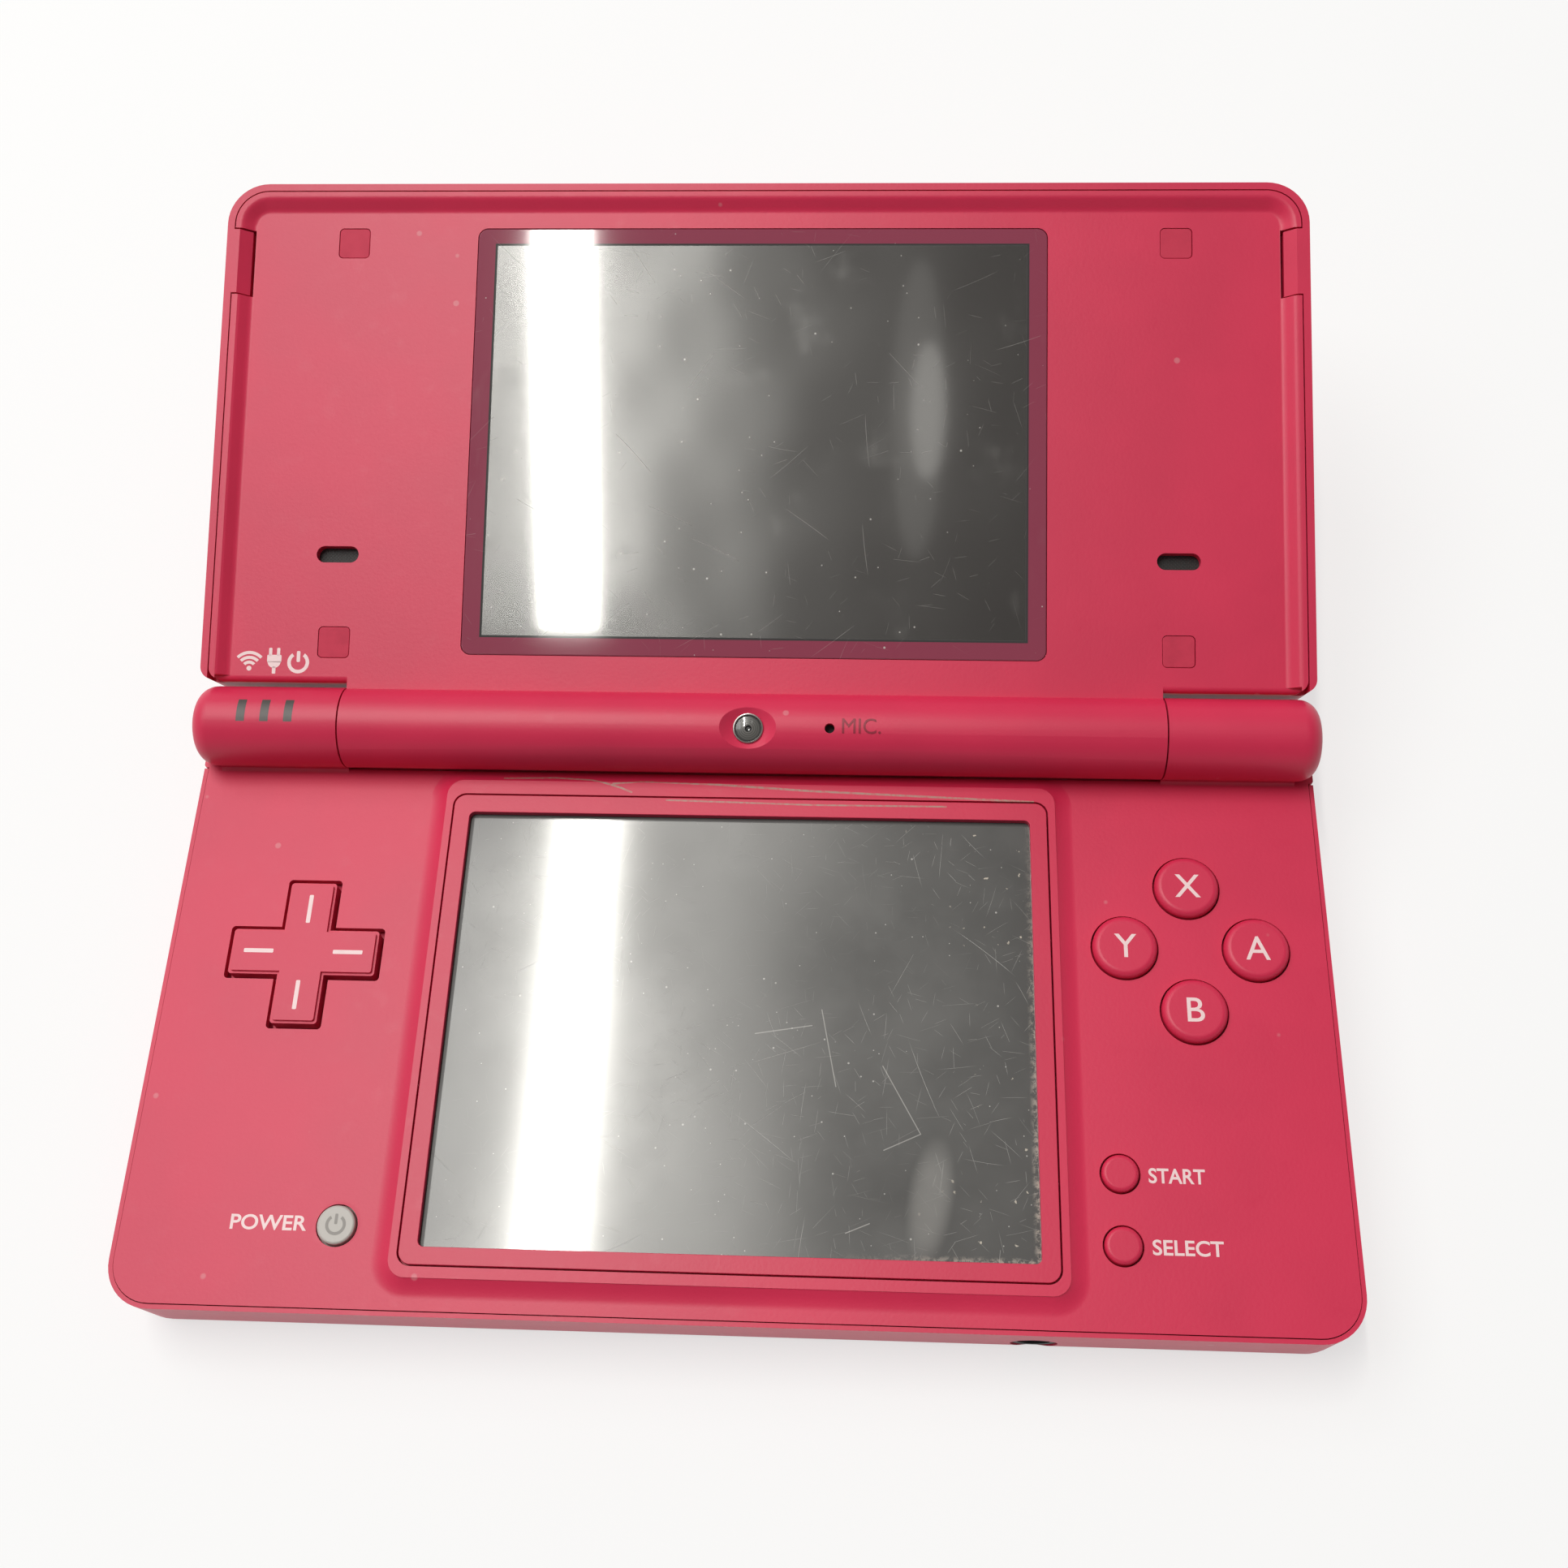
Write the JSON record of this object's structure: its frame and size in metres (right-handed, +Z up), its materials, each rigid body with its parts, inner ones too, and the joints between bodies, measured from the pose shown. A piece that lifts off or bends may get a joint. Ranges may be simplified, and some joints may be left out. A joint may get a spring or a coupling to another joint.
{
  "type": "clamshell handheld game console",
  "caption": "Clamshell handheld game console: two screens joined by a barrel hinge, with direction pad, round buttons, stylus, card slots and cameras.",
  "frame": {"origin": "middle of the closed footprint, on the flat underside of the base", "axes": "+X the player's right, +Y towards the hinge, +Z up through the deck; the lid is stored open at its stop"},
  "size_m": [0.1371, 0.1371, 0.0377],
  "materials": {
    "shell_pink": "satin moulded plastic, fine texture",
    "deck_pink": "satin moulded plastic, fine texture",
    "insert_pink": "satin moulded plastic",
    "button_pink": "satin moulded plastic",
    "pad_rubber": "soft matt rubber",
    "button_grey": "satin moulded plastic",
    "window_clear": "clear hard-coated plastic",
    "touch_film": "worn clear film over glass",
    "lcd_dark": "dark display glass",
    "circuit_board": "solder-masked board",
    "contact_rubber": "moulded silicone",
    "dark_plastic": "moulded plastic",
    "metal": "plated steel",
    "sheet_metal": "stamped sheet metal",
    "battery_wrap": "plastic wrap",
    "lamp_window": "smoked light guide",
    "lens_glass": "coated lens",
    "mesh_black": "fine woven mesh"
  },
  "bodies": {
    "base": {"base_bottom_shell": "shell_pink", "base_top_shell": "deck_pink", "battery_cover": "shell_pink", "battery_cover_screws": "metal", "battery_pack": "battery_wrap", "case_screws": "metal", "main_board": "circuit_board", "lower_lcd": "lcd_dark", "touch_panel": "touch_film", "touch_screen_bezel": "insert_pink", "dpad_contact_sheet": "contact_rubber", "face_contact_sheet": "contact_rubber", "menu_contact_sheet": "contact_rubber", "power_contact_sheet": "contact_rubber", "shoulder_pins": "metal", "shoulder_springs": "metal", "shoulder_switches": "dark_plastic", "volume_switch_board": "circuit_board", "card_slot_reader": "sheet_metal", "sd_card_reader": "sheet_metal", "stylus_sleeve": "sheet_metal", "headphone_socket": "dark_plastic", "charge_socket": "dark_plastic", "wireless_module": "sheet_metal", "led_windows": "lamp_window", "led_board": "circuit_board", "hinge_cam_unit": "metal"},
    "lid": {"lid_outer_shell": "shell_pink", "lid_inner_panel": "deck_pink", "upper_window": "window_clear", "upper_lcd": "lcd_dark", "lid_pads": "pad_rubber", "lid_screws": "metal", "speakers": "dark_plastic", "speaker_meshes": "mesh_black", "inner_camera_ring": "metal", "inner_camera_lens": "lens_glass", "inner_camera_module": "dark_plastic", "microphone": "sheet_metal", "outer_camera_ring": "metal", "outer_camera_lens": "lens_glass", "outer_camera_lamp": "lamp_window", "hinge_shaft": "metal", "hinge_tube": "metal"},
    "dpad_ball": {"dpad_pivot_ball": "metal"},
    "dpad": {"dpad_cross": "button_pink"},
    "button_a": {"button_a": "button_pink"},
    "button_b": {"button_b": "button_pink"},
    "button_x": {"button_x": "button_pink"},
    "button_y": {"button_y": "button_pink"},
    "button_start": {"button_start": "button_pink"},
    "button_select": {"button_select": "button_pink"},
    "button_power": {"button_power": "button_grey"},
    "shoulder_left": {"shoulder_button_left": "shell_pink"},
    "shoulder_right": {"shoulder_button_right": "shell_pink"},
    "volume_up": {"volume_up_button": "shell_pink"},
    "volume_down": {"volume_down_button": "shell_pink"},
    "stylus": {"stylus": "shell_pink"},
    "sd_cover": {"sd_slot_cover": "shell_pink"}
  },
  "joints": [
    {"name": "lid_hinge", "type": "hinge", "parent": "base", "child": "lid", "pos_m": [0, 0.0321, 0.0134], "axis": [1, 0, 0], "range_deg": [0, 162]},
    {"name": "dpad_rock_x", "type": "hinge", "parent": "base", "child": "dpad_ball", "pos_m": [-0.052, 0.00363, 0.00825], "axis": [1, 0, 0], "range_deg": [-2.5, 2.5], "stiffness_Nm_per_rad": 0.28},
    {"name": "dpad_rock_y", "type": "hinge", "parent": "dpad_ball", "child": "dpad", "pos_m": [-0.052, 0.00363, 0.00825], "axis": [0, 1, 0], "range_deg": [-2.5, 2.5], "stiffness_Nm_per_rad": 0.28},
    {"name": "button_a_press", "type": "slide", "parent": "base", "child": "button_a", "axis": [0, 0, -1], "range_m": [0, 0.0005], "stiffness_N_per_m": 1000},
    {"name": "button_b_press", "type": "slide", "parent": "base", "child": "button_b", "axis": [0, 0, -1], "range_m": [0, 0.0005], "stiffness_N_per_m": 1000},
    {"name": "button_x_press", "type": "slide", "parent": "base", "child": "button_x", "axis": [0, 0, -1], "range_m": [0, 0.0005], "stiffness_N_per_m": 1000},
    {"name": "button_y_press", "type": "slide", "parent": "base", "child": "button_y", "axis": [0, 0, -1], "range_m": [0, 0.0005], "stiffness_N_per_m": 1000},
    {"name": "button_start_press", "type": "slide", "parent": "base", "child": "button_start", "axis": [0, 0, -1], "range_m": [0, 0.0004], "stiffness_N_per_m": 1000},
    {"name": "button_select_press", "type": "slide", "parent": "base", "child": "button_select", "axis": [0, 0, -1], "range_m": [0, 0.0004], "stiffness_N_per_m": 1000},
    {"name": "button_power_press", "type": "slide", "parent": "base", "child": "button_power", "axis": [0, 0, -1], "range_m": [0, 0.0004], "stiffness_N_per_m": 1000},
    {"name": "volume_up_press", "type": "slide", "parent": "base", "child": "volume_up", "axis": [1, 0, 0], "range_m": [0, 0.0004], "stiffness_N_per_m": 1000},
    {"name": "volume_down_press", "type": "slide", "parent": "base", "child": "volume_down", "axis": [1, 0, 0], "range_m": [0, 0.0004], "stiffness_N_per_m": 1000},
    {"name": "shoulder_left_press", "type": "hinge", "parent": "base", "child": "shoulder_left", "pos_m": [-0.0507, 0.03465, 0.0048], "axis": [0, 0, 1], "range_deg": [0, 3], "stiffness_Nm_per_rad": 0.29},
    {"name": "shoulder_right_press", "type": "hinge", "parent": "base", "child": "shoulder_right", "pos_m": [0.0507, 0.03465, 0.0048], "axis": [0, 0, -1], "range_deg": [0, 3], "stiffness_Nm_per_rad": 0.29},
    {"name": "stylus_slide", "type": "slide", "parent": "base", "child": "stylus", "axis": [1, 0, 0], "range_m": [0, 0.094]},
    {"name": "sd_cover_hinge", "type": "hinge", "parent": "base", "child": "sd_cover", "pos_m": [0.0676, -0.0076, 0.0035], "axis": [0, 0, 1], "range_deg": [0, 90]}
  ]
}
